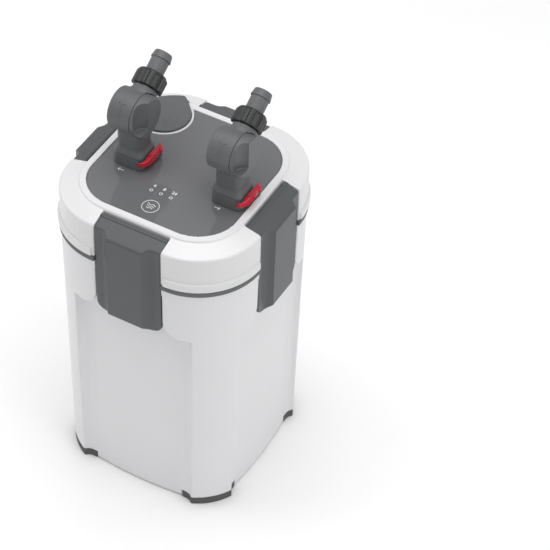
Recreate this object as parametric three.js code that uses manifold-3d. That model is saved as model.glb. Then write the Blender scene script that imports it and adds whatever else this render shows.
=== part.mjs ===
/**
 * External canister filter for an aquarium, in millimetres, +Z up, origin on the floor under the middle.
 * A square bucket stands on four corner feet and holds three media baskets. The motor head closes it and
 * is clamped by four latches that hinge on the head. The head carries the pump, the lamp for the water,
 * a priming button and two quick-release hose valves.
 */
import * as THREE from 'three';
import { mergeVertices } from 'three/addons/utils/BufferGeometryUtils.js';
import Module from 'manifold-3d';

const wasm = await Module();
wasm.setup();

// ---------------------------------------------------------------- driving dimensions
const CORNER = 42; // all housing outlines share corner arcs centred 42 mm from the middle
const ARC_STEPS = 6;
const GAP = 0.3; // clearance between pieces that touch
const SIDES = ['front', 'right', 'back', 'left']; // each a quarter turn about Z from the front, -Y

const BODY = {
  bottom: 2, bottomHalf: 107.1, lobeZ: 258.5, lobeHalf: 110.9, top: 326, topHalf: 112,
  floorZ: 14, floorUnderside: 10, innerHalf: 94, innerCorner: 60, bulgeStart: 68,
};
const RECESS = { halfWidth: 71, bowed: 100.2, edge: 97.2, edgeAt: 52, filletEnd: 104.5 };
const POCKET = { halfWidth: 39.3, depth: 104, lobeHalfWidth: 39.8, lobeRadius: 20, flangeUnder: 316 };
const FOOT = { height: 10, start: 55, innerHalf: 78 };

const GASKET = { bottom: 326.3, top: 332.7, half: 114, innerHalf: 99 };
const LID = {
  bottom: 333, beadHalf: 115, beadTop: 343.5, wallHalf: 112.6, wallTop: 376,
  ringOuter: 91.6, ringOuterZ: 381.6, ringTop: 383.3, skin: 3,
};
const PANEL = { half: 84, top: 382.6, thickness: 3, ledge: 80 };
const BASE = { bottom: 333, top: 337, half: 108.8 };
const BOSS = { x: 51, y: 94.5, radius: 4.2 };

const LATCH = {
  halfWidth: 38.8, hingeD: 97.2, hingeZ: 377.4, barrel: 3, pin: 1.5, bottom: 260, cornerRadius: 9,
  skin: 4, proudHalf: 20.6, proudFootHalf: 28.5, proud: 7.5, hookTop: 315.2, hookTip: 101.6, hookHalf: 22,
  faceOut: 111.8, footOut: 111.2, bendZ: 330, browZ: 372.5, undercut: 4.8,
};

const BUTTON = { along: 87, radius: 28.5, outerRadius: 57, rim: 2.7, bottom: 374, top: 386, skin: 2.5 };
const PRIMER = { boreRadius: 12, wall: 2, top: 366, pistonBottom: 356, pistonTop: 361, stem: 4 };

const VALVE = {
  y: -12, inletX: -52.5, outletX: 63.5, drumZ: 62.9, drumRadius: 22.3, drumLeft: -19.5, drumRight: 7.4,
  knobLeft: 7.8, knobRight: 19.5, socketHalfX: 18, socketHalfY: 16, socketTop: 13.4, columnHalf: 14.5,
  tube: 12, tubeBore: 9.8, spigot: 9.2, bore: 7, spigotBottom: -20, rotor: 12.8, rotorLeft: -13,
  rotorRight: 7, neckTilt: 60,
};
const LEVER = {
  pivotX: 20.6, pivotY: 14.5, boss: 3.6, pin: 1.3, bottom: 8, top: 17, clearX: 18.4, clearY: 16.4,
};
const HOSE = {
  neck: 13.5, neckEnd: 27, thread: 12.3, threadEnd: 40, nutEnd: 45, nutRadius: 15.6, nutRib: 17,
  flangeEnd: 42.3, tail: 9.75, shoulder: 11, shoulderAt: 60.6, tip: 9.85, end: 68.4,
};

const MOTOR = { x: 38, y: 38, radius: 30, top: 372, well: 12.5, wellTop: 368 };
const IMPELLER = { radius: 23, bottom: 319, top: 330, magnet: 11, magnetTop: 363.5, shaft: 1.5, blades: 6 };
const COVER = { radius: 32, wall: 2.5, bottom: 312 };

const BASKET = { half: 91.5, height: 76, pitch: 77, firstZ: 26, wall: 2, floor: 2.5 };
const SLOT = { halfLength: 19, halfWidth: 5, pitchX: 46, pitchY: 24, clearX: 36, clearY: 21 };
const LAMP = { x: -35, y: 46, sleeve: 12, sleeveWall: 1.5, tube: 8, bottom: 188 };
const PIPE = { radius: 11, bore: 9, bottom: 30 };
const BOARD = { x0: -32, x1: 30, y0: -74, y1: -36, bottom: 377.4 };
const GLAND = { x: -58, z: 352, flange: 8, sleeve: 5, bore: 3 };

// ---------------------------------------------------------------- materials
const finish = (color, roughness, metalness = 0, extra = {}) =>
  new THREE.MeshStandardMaterial({ color, roughness, metalness, ...extra });
const COLOURS = {
  white: () => finish(0xe9e9ea, 0.38),
  grey: () => finish(0x66686b, 0.5),
  gloss: () => finish(0x6c6d71, 0.16),
  dark: () => finish(0x2b2c2e, 0.45),
  rubber: () => finish(0x595b5d, 0.8),
  red: () => finish(0xb5142b, 0.35),
  steel: () => finish(0xc4c6c8, 0.25, 1),
  board: () => finish(0x1f5a3a, 0.55),
  basket: () => finish(0x3b3d40, 0.55),
  sponge: () => finish(0x31556e, 0.95),
  wool: () => finish(0xe6e4de, 0.95),
  ceramic: () => finish(0xd9c9ad, 0.9),
  glass: () => finish(0xdfeff2, 0.05, 0, { transparent: true, opacity: 0.35 }),
};

// ---------------------------------------------------------------- solids and booleans
const TURN = Math.PI * 2;
const QUARTER = Math.PI / 2;
const deg = THREE.MathUtils.degToRad;

function solid(geometry) {
  const bare = geometry.clone();
  bare.deleteAttribute('normal');
  bare.deleteAttribute('uv');
  const merged = mergeVertices(bare, 1e-4);
  return new wasm.Manifold(new wasm.Mesh({
    numProp: 3,
    vertProperties: merged.attributes.position.array,
    triVerts: new Uint32Array(merged.index.array),
  }));
}

function geometryOf(manifold) {
  const mesh = manifold.getMesh();
  const geometry = new THREE.BufferGeometry();
  geometry.setAttribute('position', new THREE.BufferAttribute(mesh.vertProperties, 3));
  geometry.setIndex(new THREE.BufferAttribute(mesh.triVerts, 1));
  geometry.computeVertexNormals();
  return geometry;
}

const join = (first, ...others) => others.reduce((whole, each) => whole.add(each), first);
const cut = (first, ...tools) => tools.reduce((whole, each) => whole.subtract(each), first);
const common = (first, second) => first.intersect(second);

/** Closed surface through a stack of rings of equal point count: outside upwards, then inside downwards. */
function stack(rings, { closed = false } = {}) {
  const count = rings[0].length;
  const points = rings.flat();
  const faces = [];
  const bands = closed ? rings.length : rings.length - 1;
  for (let band = 0; band < bands; band++) {
    const low = band * count;
    const high = ((band + 1) % rings.length) * count;
    for (let i = 0; i < count; i++) {
      const next = (i + 1) % count;
      faces.push(low + i, low + next, high + next, low + i, high + next, high + i);
    }
  }
  if (!closed) {
    const cap = (start, flip) => {
      const middle = points.length;
      const centre = new THREE.Vector3();
      for (let i = 0; i < count; i++) centre.addScaledVector(points[start + i], 1 / count);
      points.push(centre);
      for (let i = 0; i < count; i++) {
        const next = (i + 1) % count;
        faces.push(middle, start + (flip ? next : i), start + (flip ? i : next));
      }
    };
    cap(0, true);
    cap((rings.length - 1) * count, false);
  }
  const geometry = new THREE.BufferGeometry().setFromPoints(points);
  geometry.setIndex(faces);
  return solid(geometry);
}

/** Rounded rectangle ring, counter-clockwise from above. */
function roundedRing(halfX, halfY, radius, z, steps = ARC_STEPS) {
  const ring = [];
  for (let corner = 0; corner < 4; corner++) {
    const signX = corner === 0 || corner === 3 ? 1 : -1;
    const signY = corner < 2 ? 1 : -1;
    for (let i = 0; i <= steps; i++) {
      const angle = (corner + i / steps) * QUARTER;
      ring.push(new THREE.Vector3(
        signX * (halfX - radius) + radius * Math.cos(angle),
        signY * (halfY - radius) + radius * Math.sin(angle),
        z,
      ));
    }
  }
  return ring;
}

const squareRing = (half, z, steps) => roundedRing(half, half, half - CORNER, z, steps);
const squarePrism = (half, z0, z1, steps) =>
  stack([squareRing(half, z0, steps), squareRing(half, z1, steps)]);

/** Solid of revolution about Z from (radius, z) pairs that start and end on the axis, going up outside. */
function turned(profile, segments = 24) {
  const points = profile.map(([r, z]) => new THREE.Vector2(r, z));
  const lathe = new THREE.LatheGeometry(points, segments);
  lathe.rotateX(QUARTER);
  return solid(lathe);
}

const rod = (radius, z0, z1, segments = 24) =>
  turned([[0, z0], [radius, z0], [radius, z1], [0, z1]], segments);

const tube = (outer, inner, z0, z1, segments = 24) =>
  turned([[inner, z0], [outer, z0], [outer, z1], [inner, z1], [inner, z0]], segments);

function block(x0, x1, y0, y1, z0, z1) {
  const box = new THREE.BoxGeometry(x1 - x0, y1 - y0, z1 - z0);
  return solid(box.translate((x0 + x1) / 2, (y0 + y1) / 2, (z0 + z1) / 2));
}

function extruded(shape, depth, curveSegments = 8) {
  return new THREE.ExtrudeGeometry(shape, { depth, bevelEnabled: false, curveSegments });
}

const prism = (shape, z0, z1, curveSegments) =>
  solid(extruded(shape, z1 - z0, curveSegments).translate(0, 0, z0));

function polygon(pairs) {
  return new THREE.Shape(pairs.map(([a, b]) => new THREE.Vector2(a, b)));
}

/** Profile in (distance from the middle, z) swept across the front side from -halfWidth to +halfWidth. */
function acrossFront(shape, halfWidth, curveSegments) {
  const geometry = extruded(shape, 2 * halfWidth, curveSegments).translate(0, 0, -halfWidth);
  geometry.applyMatrix4(new THREE.Matrix4().makeBasis(
    new THREE.Vector3(0, -1, 0), new THREE.Vector3(0, 0, 1), new THREE.Vector3(-1, 0, 0),
  ));
  return solid(geometry);
}

/** Shape in (x, z) as seen from the front, given depth along Y at the front side. */
function facingFront(shape, near, far, curveSegments) {
  const geometry = extruded(shape, far - near, curveSegments);
  return solid(geometry.rotateX(QUARTER).translate(0, -near, 0));
}

const turn = (manifold, degrees) => manifold.rotate([0, 0, degrees]);
const onEachSide = (manifold) => SIDES.map((_, index) => turn(manifold, index * 90));

function mesh(name, manifold, colour) {
  const item = new THREE.Mesh(geometryOf(manifold), COLOURS[colour]());
  item.name = name;
  return item;
}

const filter = new THREE.Group();
filter.name = 'canister_filter';

// ---------------------------------------------------------------- bucket and feet
/** Plan of the shallow recess in one side, in (across, outward): bowed in the middle, fillets at the ends. */
function recessPlan() {
  const { halfWidth, bowed, edge, edgeAt, filletEnd } = RECESS;
  const outside = 140;
  const plan = new THREE.Shape();
  plan.moveTo(-halfWidth, outside);
  plan.lineTo(-halfWidth, filletEnd);
  plan.quadraticCurveTo(-halfWidth + 3, edge - 0.8, -edgeAt, edge);
  plan.quadraticCurveTo(0, 2 * bowed - edge, edgeAt, edge);
  plan.quadraticCurveTo(halfWidth - 3, edge - 0.8, halfWidth, filletEnd);
  plan.lineTo(halfWidth, outside);
  plan.closePath();
  return plan;
}

/** What is cut from the front side: the wide recess below the lobes and the latch pocket between them. */
function recessCutter() {
  const { lobeHalfWidth, lobeRadius, flangeUnder } = POCKET;
  const wide = 80;
  const below = -20;
  const curtain = turn(prism(recessPlan(), below, flangeUnder, 6), 180);
  const face = new THREE.Shape();
  face.moveTo(-wide, below);
  face.lineTo(wide, below);
  face.lineTo(wide, BODY.lobeZ);
  face.lineTo(lobeHalfWidth + lobeRadius, BODY.lobeZ);
  face.quadraticCurveTo(lobeHalfWidth, BODY.lobeZ, lobeHalfWidth, BODY.lobeZ + lobeRadius);
  face.lineTo(lobeHalfWidth, flangeUnder);
  face.lineTo(-lobeHalfWidth, flangeUnder);
  face.lineTo(-lobeHalfWidth, BODY.lobeZ + lobeRadius);
  face.quadraticCurveTo(-lobeHalfWidth, BODY.lobeZ, -lobeHalfWidth - lobeRadius, BODY.lobeZ);
  face.lineTo(-wide, BODY.lobeZ);
  face.closePath();
  return common(curtain, facingFront(face, 80, 130, 6));
}

/** Latch pocket above the bucket's flange, as wide as the pocket in the lid. */
const pocketCutter = (z0, z1) => block(-POCKET.halfWidth, POCKET.halfWidth, -140, -POCKET.depth, z0, z1);

const footZone = (height, grow) => {
  const corner = block(FOOT.start - grow, 130, FOOT.start - grow, 130, -1, height);
  return cut(corner, squarePrism(FOOT.innerHalf - grow, -2, height + 1));
};

function makeBody() {
  const { bottom, bottomHalf, lobeZ, lobeHalf, top, topHalf } = BODY;
  const outer = stack([
    squareRing(bottomHalf, bottom), squareRing(lobeHalf, lobeZ), squareRing(topHalf, top),
  ]);
  const bulge = common(
    rod(BODY.innerCorner, BODY.floorZ, top + 1, 36).translate([CORNER, CORNER, 0]),
    block(BODY.bulgeStart, 130, BODY.bulgeStart, 130, 0, top + 2),
  );
  const inside = join(squarePrism(BODY.innerHalf, BODY.floorZ, top + 1), ...onEachSide(bulge));
  return cut(
    outer,
    ...onEachSide(recessCutter()),
    ...onEachSide(pocketCutter(POCKET.flangeUnder, top + 5)),
    inside,
    squarePrism(FOOT.innerHalf, bottom - 1, BODY.floorUnderside),
    ...onEachSide(footZone(FOOT.height + GAP, GAP)),
  );
}

function makeFoot() {
  const plinth = stack([
    squareRing(BODY.bottomHalf - 0.1, 0), squareRing(BODY.bottomHalf, FOOT.height),
  ]);
  const outline = cut(plinth, ...onEachSide(recessCutter()));
  return common(outline, footZone(FOOT.height, 0));
}

filter.add(mesh('canister_body', makeBody(), 'white'));
['back_right', 'back_left', 'front_left', 'front_right'].forEach((place, index) => {
  const foot = mesh(`foot_${place}`, makeFoot(), 'rubber');
  foot.rotation.z = index * QUARTER;
  filter.add(foot);
});

// ---------------------------------------------------------------- media baskets
const channel = { x: VALVE.inletX, y: VALVE.y, radius: 12.5 };
const lampChannel = { x: LAMP.x, y: LAMP.y, radius: 13.5 };

function makeBasket(z, channels) {
  const { half, height, wall, floor } = BASKET;
  const shell = stack([
    squareRing(half - 2, z), squareRing(half, z + 6), squareRing(half, z + height),
    squareRing(half - wall, z + height), squareRing(half - wall, z + 6),
    squareRing(half - wall - 2, z + floor),
  ]);
  const collars = channels.map((c) => rod(c.radius + 2, z, z + height, 24).translate([c.x, c.y, 0]));
  const holes = channels.map((c) => rod(c.radius, z - 1, z + height + 1, 24).translate([c.x, c.y, 0]));
  const slots = [];
  for (let row = -3; row <= 3; row++) {
    for (let column = -1; column <= 1; column++) {
      const x = column * SLOT.pitchX;
      const y = row * SLOT.pitchY;
      const blocked = channels.some(
        (c) => Math.abs(c.x - x) < SLOT.clearX && Math.abs(c.y - y) < SLOT.clearY,
      );
      const pastCorner = Math.abs(row) === 3 && column !== 0;
      if (blocked || pastCorner) continue;
      const { halfLength, halfWidth } = SLOT;
      slots.push(block(x - halfLength, x + halfLength, y - halfWidth, y + halfWidth, z - 1, z + floor + 1));
    }
  }
  return cut(join(shell, ...collars), ...holes, ...slots);
}

function makeMedia(z, channels) {
  const { half, height, wall, floor } = BASKET;
  const base = z + floor + GAP;
  const fill = stack([
    squareRing(half - wall - 2.5, base), squareRing(half - wall - 0.6, z + 8),
    squareRing(half - wall - 0.6, z + height - 8),
  ]);
  return cut(fill, ...channels.map((c) => rod(c.radius + 2.4, z, z + height, 24).translate([c.x, c.y, 0])));
}

const MEDIA = [
  { place: 'lower', fill: 'coarse_sponge', colour: 'sponge', channels: [channel] },
  { place: 'middle', fill: 'ceramic_media', colour: 'ceramic', channels: [channel] },
  { place: 'upper', fill: 'fine_filter_pad', colour: 'wool', channels: [channel, lampChannel] },
];
MEDIA.forEach(({ place, fill, colour, channels }, index) => {
  const z = BASKET.firstZ + index * BASKET.pitch;
  filter.add(mesh(`media_basket_${place}`, makeBasket(z, channels), 'basket'));
  filter.add(mesh(fill, makeMedia(z, channels), colour));
});

const intake = tube(PIPE.radius, PIPE.bore, PIPE.bottom, BASE.bottom - GAP, 24);
filter.add(mesh('intake_pipe', intake.translate([channel.x, channel.y, 0]), 'basket'));

// ---------------------------------------------------------------- priming button outline
/** Tongue with a round inner end, straight sides and an outer edge that follows the lid's corner. */
function tonguePrism(grow, z0, z1, steps = 6) {
  const radius = BUTTON.radius + grow;
  const outer = BUTTON.outerRadius + grow;
  const cornerAlong = CORNER * Math.SQRT2;
  const spread = Math.asin(radius / outer);
  const plan = new THREE.Shape();
  plan.absarc(BUTTON.along, 0, radius, -QUARTER, QUARTER, true);
  plan.absarc(cornerAlong, 0, outer, spread, -spread, true);
  plan.closePath();
  return turn(prism(plan, z0, z1, steps), 135);
}

// ---------------------------------------------------------------- lid, gasket, panel, base plate
/** Latch pocket in the lid, in (outward, z), with a round trough under the hinge barrel. */
function latchPocketProfile() {
  const { hingeD, hingeZ, barrel } = LATCH;
  const trough = barrel + 0.5;
  const profile = new THREE.Shape();
  profile.moveTo(hingeD - trough, 390);
  profile.lineTo(hingeD - trough, hingeZ);
  profile.absarc(hingeD, hingeZ, trough, Math.PI, 1.6 * Math.PI, false);
  profile.lineTo(POCKET.depth, 371);
  profile.lineTo(POCKET.depth, LID.bottom - 5);
  profile.lineTo(140, LID.bottom - 5);
  profile.lineTo(140, 390);
  profile.closePath();
  return profile;
}

function makeLid() {
  const { bottom, beadHalf, beadTop, wallHalf, wallTop, ringOuter, ringOuterZ, ringTop, skin } = LID;
  const seat = PANEL.top - PANEL.thickness - GAP;
  const section = [
    [beadHalf - 1.8, bottom], [beadHalf, bottom + 2], [beadHalf, beadTop - 3], [wallHalf, beadTop],
    [wallHalf, wallTop], [wallHalf - 1.2, wallTop + 1.2], [ringOuter, ringOuterZ],
    [ringOuter - 1, ringTop], [PANEL.half + 1.6, ringTop], [PANEL.half + 0.4, ringTop - 0.9],
    [PANEL.half + 0.4, seat], [PANEL.ledge, seat], [PANEL.ledge, seat - skin],
    [ringOuter, seat - skin - 0.4], [wallHalf - skin, wallTop - skin - 0.5], [wallHalf - skin, bottom],
  ];
  const shell = stack(section.map(([half, z]) => squareRing(half, z)), { closed: true });
  const liner = acrossFront(polygon([
    [89, 379], [89, 371.5], [99, 369.5], [100.5, 368], [100.5, bottom], [110, bottom], [110, 376.5],
  ]), POCKET.halfWidth + 4);
  const pinHole = rod(LATCH.pin + 0.3, -POCKET.halfWidth - 3.2, POCKET.halfWidth + 3.2, 16)
    .rotate([0, 90, 0]).translate([0, -LATCH.hingeD, LATCH.hingeZ]);
  const screwBoss = rod(BOSS.radius, BASE.top + GAP, wallTop, 16).translate([BOSS.x, BOSS.y, 0]);
  const screwHole = rod(1.9, BASE.top - 1, BASE.top + 18, 12).translate([BOSS.x, BOSS.y, 0]);
  const buttonWall = common(
    tonguePrism(BUTTON.rim + 0.5, seat - skin, ringTop - 0.1), squarePrism(ringOuter - 0.6, 370, 385),
  );
  const glandHole = placeGland(rod(GLAND.sleeve + GAP, -12, 12, 20));
  return cut(
    join(shell, ...onEachSide(liner), ...onEachSide(screwBoss), buttonWall),
    ...onEachSide(acrossFront(latchPocketProfile(), POCKET.halfWidth, 5)),
    ...onEachSide(pinHole), ...onEachSide(screwHole),
    tonguePrism(0.5, 350, 395), glandHole,
  );
}

/** A piece built about Z, stood out of the back wall beside the latch, square to the rounded wall. */
function placeGland(piece) {
  const radius = LID.wallHalf - CORNER;
  const lean = Math.asin((Math.abs(GLAND.x) - CORNER) / radius);
  const y = CORNER + radius * Math.cos(lean);
  return piece.rotate([-90, 0, 0]).rotate([0, 0, THREE.MathUtils.radToDeg(lean)])
    .translate([GLAND.x, y, GLAND.z]);
}

function makeGasket() {
  const { bottom, top, half, innerHalf } = GASKET;
  const ring = stack([
    squareRing(half - 0.6, bottom), squareRing(half, bottom + 1), squareRing(half, top - 1),
    squareRing(half - 0.6, top), squareRing(innerHalf, top), squareRing(innerHalf, bottom),
  ], { closed: true });
  return cut(ring, ...onEachSide(pocketCutter(bottom - 1, top + 1)));
}

const socketHoles = (radius, z0, z1) => [VALVE.inletX, VALVE.outletX]
  .map((x) => rod(radius, z0, z1, 24).translate([x, VALVE.y, 0]));

function makePanel() {
  const { half, top, thickness } = PANEL;
  return cut(
    squarePrism(half, top - thickness, top, 8),
    tonguePrism(BUTTON.rim + 0.8, 370, 390),
    ...socketHoles(VALVE.tube + GAP, 370, 390),
  );
}

function makeBasePlate() {
  const notchHalf = POCKET.halfWidth + 4.5;
  const notch = block(-notchHalf, notchHalf, -130, -100, BASE.bottom - 1, BASE.top + 1);
  const screwHole = rod(1.9, BASE.bottom - 1, BASE.top + 1, 12).translate([BOSS.x, BOSS.y, 0]);
  return cut(
    squarePrism(BASE.half, BASE.bottom, BASE.top),
    ...onEachSide(notch), ...onEachSide(screwHole), ...socketHoles(VALVE.tubeBore, 330, 340),
    rod(MOTOR.well + 0.5, 330, 340, 24).translate([MOTOR.x, MOTOR.y, 0]),
    rod(LAMP.sleeve - 3, 330, 340, 24).translate([LAMP.x, LAMP.y, 0]),
  );
}

filter.add(mesh('lid_gasket', makeGasket(), 'rubber'));
filter.add(mesh('lid_shell', makeLid(), 'white'));
filter.add(mesh('top_panel', makePanel(), 'gloss'));
filter.add(mesh('lid_base', makeBasePlate(), 'dark'));
const boardTop = PANEL.top - PANEL.thickness - GAP;
const board = block(BOARD.x0, BOARD.x1, BOARD.y0, BOARD.y1, BOARD.bottom, boardTop);
filter.add(mesh('control_board', board, 'board'));

const screw = join(
  rod(3.2, BASE.bottom - 2.5, BASE.bottom - GAP, 12),
  rod(1.5, BASE.bottom - 1, BASE.top + 16, 12),
);
['back', 'left', 'front', 'right'].forEach((side, index) => {
  const item = mesh(`base_screw_${side}`, screw.translate([BOSS.x, BOSS.y, 0]), 'steel');
  item.rotation.z = index * QUARTER;
  filter.add(item);
});

const gland = turned([
  [GLAND.bore, -9], [GLAND.sleeve, -9], [GLAND.sleeve, GAP], [GLAND.flange, GAP], [GLAND.flange - 0.5, 2],
  [GLAND.sleeve + 0.4, 4.2], [GLAND.bore, 4.2], [GLAND.bore, -9],
], 20);
filter.add(mesh('cord_gland', placeGland(gland), 'dark'));

// ---------------------------------------------------------------- latches
/** One latch at the front, in the closed position: hinge barrel, cover, raised middle and inner hook. */
function makeLatch() {
  const { halfWidth, hingeD, hingeZ, barrel, skin, bottom, cornerRadius } = LATCH;
  const { proud, proudHalf, proudFootHalf, browZ, undercut } = LATCH;
  const { faceOut, footOut, bendZ, hookTop, hookTip, hookHalf } = LATCH;
  const crown = [[hingeD, hingeZ + barrel], [faceOut, hingeZ - 0.9]];
  const inside = [
    [footOut - skin, bottom], [faceOut - skin - 0.2, bendZ], [faceOut - skin, hingeZ - 4.9],
    [faceOut - 5.6, hingeZ - 3.2], [hingeD + 1, hingeZ - barrel + 0.1],
  ];
  const face = new THREE.Shape();
  face.moveTo(-halfWidth, 400);
  face.lineTo(-halfWidth, bottom + cornerRadius);
  face.quadraticCurveTo(-halfWidth, bottom, -halfWidth + cornerRadius, bottom);
  face.lineTo(halfWidth - cornerRadius, bottom);
  face.quadraticCurveTo(halfWidth, bottom, halfWidth, bottom + cornerRadius);
  face.lineTo(halfWidth, 400);
  face.closePath();
  const wings = polygon([...crown, [faceOut - 0.2, bendZ], [footOut, bottom], ...inside]);
  const cover = common(acrossFront(wings, halfWidth), facingFront(face, 80, 130));
  const middle = polygon([
    ...crown, [faceOut + proud, browZ], [faceOut + proud - 0.2, bendZ], [footOut + proud, bottom + undercut],
    [footOut, bottom], [footOut - 1, bottom], [faceOut - 1, bendZ], [faceOut - 1, hingeZ - 3.4],
    [hingeD + 1, hingeZ - barrel + 0.8],
  ]);
  const flanks = polygon([
    [-proudFootHalf, -80], [-proudFootHalf, -faceOut], [-proudHalf, -faceOut - proud],
    [proudHalf, -faceOut - proud], [proudFootHalf, -faceOut], [proudFootHalf, -80],
  ]);
  const raised = common(acrossFront(middle, proudFootHalf), prism(flanks, bottom - 1, hingeZ + 5));
  const knuckle = rod(barrel, -halfWidth, halfWidth, 16).rotate([0, 90, 0]).translate([0, -hingeD, hingeZ]);
  const hook = acrossFront(polygon([
    [hookTip, hookTop], [hookTip, hookTop - 4], [hookTip + 2, hookTop - 7],
    [faceOut - skin + 1, hookTop - 9], [faceOut - skin + 1, hookTop],
  ]), hookHalf);
  const bore = rod(LATCH.pin + 0.3, -halfWidth - 1, halfWidth + 1, 16)
    .rotate([0, 90, 0]).translate([0, -hingeD, hingeZ]);
  return cut(join(cover, raised, knuckle, hook), bore);
}

const latchPin = rod(LATCH.pin, -POCKET.halfWidth - 3, POCKET.halfWidth + 3, 12)
  .rotate([0, 90, 0]).translate([0, -LATCH.hingeD, LATCH.hingeZ]);
SIDES.forEach((side, index) => {
  const place = new THREE.Group();
  place.rotation.z = index * QUARTER;
  place.add(mesh(`latch_${side}`, makeLatch(), 'grey'));
  place.add(mesh(`latch_pin_${side}`, latchPin, 'steel'));
  filter.add(place);
});

// ---------------------------------------------------------------- priming button
const primer = new THREE.Group();
primer.position.set(-BUTTON.along / Math.SQRT2, BUTTON.along / Math.SQRT2, 0);

function makeButton() {
  const { bottom, top, skin } = BUTTON;
  const cap = tonguePrism(0, bottom, top);
  const hollow = tonguePrism(-skin, bottom - 1, top - skin);
  const seat = rod(PRIMER.stem + 2, bottom, top - 1, 20).translate(primer.position.toArray());
  return join(cut(cap, hollow), seat);
}

/** Compression spring: a round wire along a helix. */
function makeSpring(radius, wire, z0, z1, turns) {
  const points = [];
  const steps = turns * 10;
  for (let i = 0; i <= steps; i++) {
    const angle = (i / steps) * turns * TURN;
    points.push(new THREE.Vector3(
      radius * Math.cos(angle), radius * Math.sin(angle), THREE.MathUtils.lerp(z0, z1, i / steps),
    ));
  }
  const section = new THREE.Shape();
  section.absarc(0, 0, wire, 0, TURN, false);
  const path = new THREE.CatmullRomCurve3(points);
  return solid(new THREE.ExtrudeGeometry(section, {
    extrudePath: path, steps, bevelEnabled: false, curveSegments: 3,
  }));
}

filter.add(mesh('priming_button', makeButton(), 'grey'));
primer.add(mesh('priming_piston', join(
  rod(PRIMER.boreRadius - 0.5, PRIMER.pistonBottom, PRIMER.pistonTop, 24),
  rod(PRIMER.stem, PRIMER.pistonBottom, BUTTON.bottom - GAP, 16),
), 'dark'));
primer.add(mesh('priming_cylinder', tube(
  PRIMER.boreRadius + PRIMER.wall, PRIMER.boreRadius, BASE.top + GAP, PRIMER.top, 24,
), 'dark'));
primer.add(mesh('priming_spring', makeSpring(8, 0.8, BASE.top + 1.4, PRIMER.pistonBottom - 1.2, 4), 'steel'));
filter.add(primer);

// ---------------------------------------------------------------- pump and lamp
const pump = new THREE.Group();
pump.position.set(MOTOR.x, MOTOR.y, 0);
pump.add(mesh('motor_housing', cut(
  rod(MOTOR.radius, BASE.top + GAP, MOTOR.top), rod(MOTOR.well, BASE.top - 1, MOTOR.wellTop, 24),
), 'dark'));

function makeImpeller() {
  const { radius, bottom, top, magnet, shaft, blades } = IMPELLER;
  const vanes = Array.from({ length: blades }, (_, index) =>
    turn(block(4, radius, -1, 1, bottom, top), (index * 360) / blades));
  const hub = rod(magnet - 2, bottom, top + 3.5, 24);
  const plate = rod(radius, top - 1.5, top, 32);
  return cut(join(hub, plate, ...vanes), rod(shaft + 0.4, bottom - 1, top + 5, 12));
}

const { shaft, magnet, magnetTop, top: impellerTop } = IMPELLER;
pump.add(mesh('impeller', makeImpeller(), 'grey'));
pump.add(mesh('rotor_magnet', tube(magnet, shaft + 0.4, impellerTop + 3.8, magnetTop, 24), 'dark'));
pump.add(mesh('impeller_shaft', rod(shaft, COVER.bottom + 3, MOTOR.wellTop - 0.6, 12), 'ceramic'));
pump.add(mesh('shaft_bush_upper', tube(5, shaft + GAP, magnetTop + 0.5, MOTOR.wellTop - GAP, 16), 'rubber'));
pump.add(mesh('shaft_bush_lower', tube(4, shaft + GAP, COVER.bottom + 2.8, 318.4, 16), 'rubber'));

function makePumpCover() {
  const { radius, wall, bottom } = COVER;
  const top = BASE.bottom - GAP;
  const cup = turned([
    [0, bottom], [radius - 3, bottom], [radius, bottom + 3], [radius, top], [radius - wall, top],
    [radius - wall, bottom + wall], [0, bottom + wall],
  ]);
  const inlets = Array.from({ length: 5 }, (_, index) =>
    turn(rod(5, bottom - 1, bottom + wall + 1, 10).translate([13, 0, 0]), index * 72));
  return cut(cup, ...inlets);
}

pump.add(mesh('pump_cover', makePumpCover(), 'basket'));
filter.add(pump);

const lamp = new THREE.Group();
lamp.position.set(LAMP.x, LAMP.y, 0);
const sleeveTop = BASE.bottom - GAP;
const { sleeve, sleeveWall } = LAMP;
lamp.add(mesh('lamp_sleeve', turned([
  [0, LAMP.bottom], [sleeve - 5, LAMP.bottom + 1], [sleeve, LAMP.bottom + 7], [sleeve, sleeveTop],
  [sleeve - sleeveWall, sleeveTop], [sleeve - sleeveWall, LAMP.bottom + 8],
  [sleeve - 6, LAMP.bottom + 3], [0, LAMP.bottom + 2.5],
], 24), 'glass'));
lamp.add(mesh('clarifier_lamp', rod(LAMP.tube, LAMP.bottom + 12, sleeveTop - 1, 20), 'wool'));
filter.add(lamp);

// ---------------------------------------------------------------- hose valves
const alongX = (manifold, z = VALVE.drumZ) => manifold.rotate([0, 90, 0]).translate([0, 0, z]);
const alongNeck = (manifold) => manifold.rotate([-VALVE.neckTilt, 0, 0]).translate([0, 0, VALVE.drumZ]);

function makeSocket() {
  const { socketHalfX, socketHalfY, socketTop, tube: outer, tubeBore } = VALVE;
  const rim = stack([
    roundedRing(socketHalfX, socketHalfY, 7, GAP),
    roundedRing(socketHalfX - 0.6, socketHalfY - 0.6, 7, socketTop),
  ]);
  const stem = rod(outer, BASE.top + GAP - PANEL.top, 2, 24);
  const lug = block(12, LEVER.pivotX, LEVER.pivotY - 3.2, LEVER.pivotY + 1.2, 3, LEVER.bottom - GAP);
  const lugEnd = rod(3.2, 3, LEVER.bottom - GAP, 16).translate([LEVER.pivotX, LEVER.pivotY, 0]);
  const pin = rod(LEVER.pin, 5, LEVER.top, 12).translate([LEVER.pivotX, LEVER.pivotY, 0]);
  return cut(join(rim, stem, lug, lugEnd, pin), rod(tubeBore, -60, socketTop + 1, 24));
}

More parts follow.
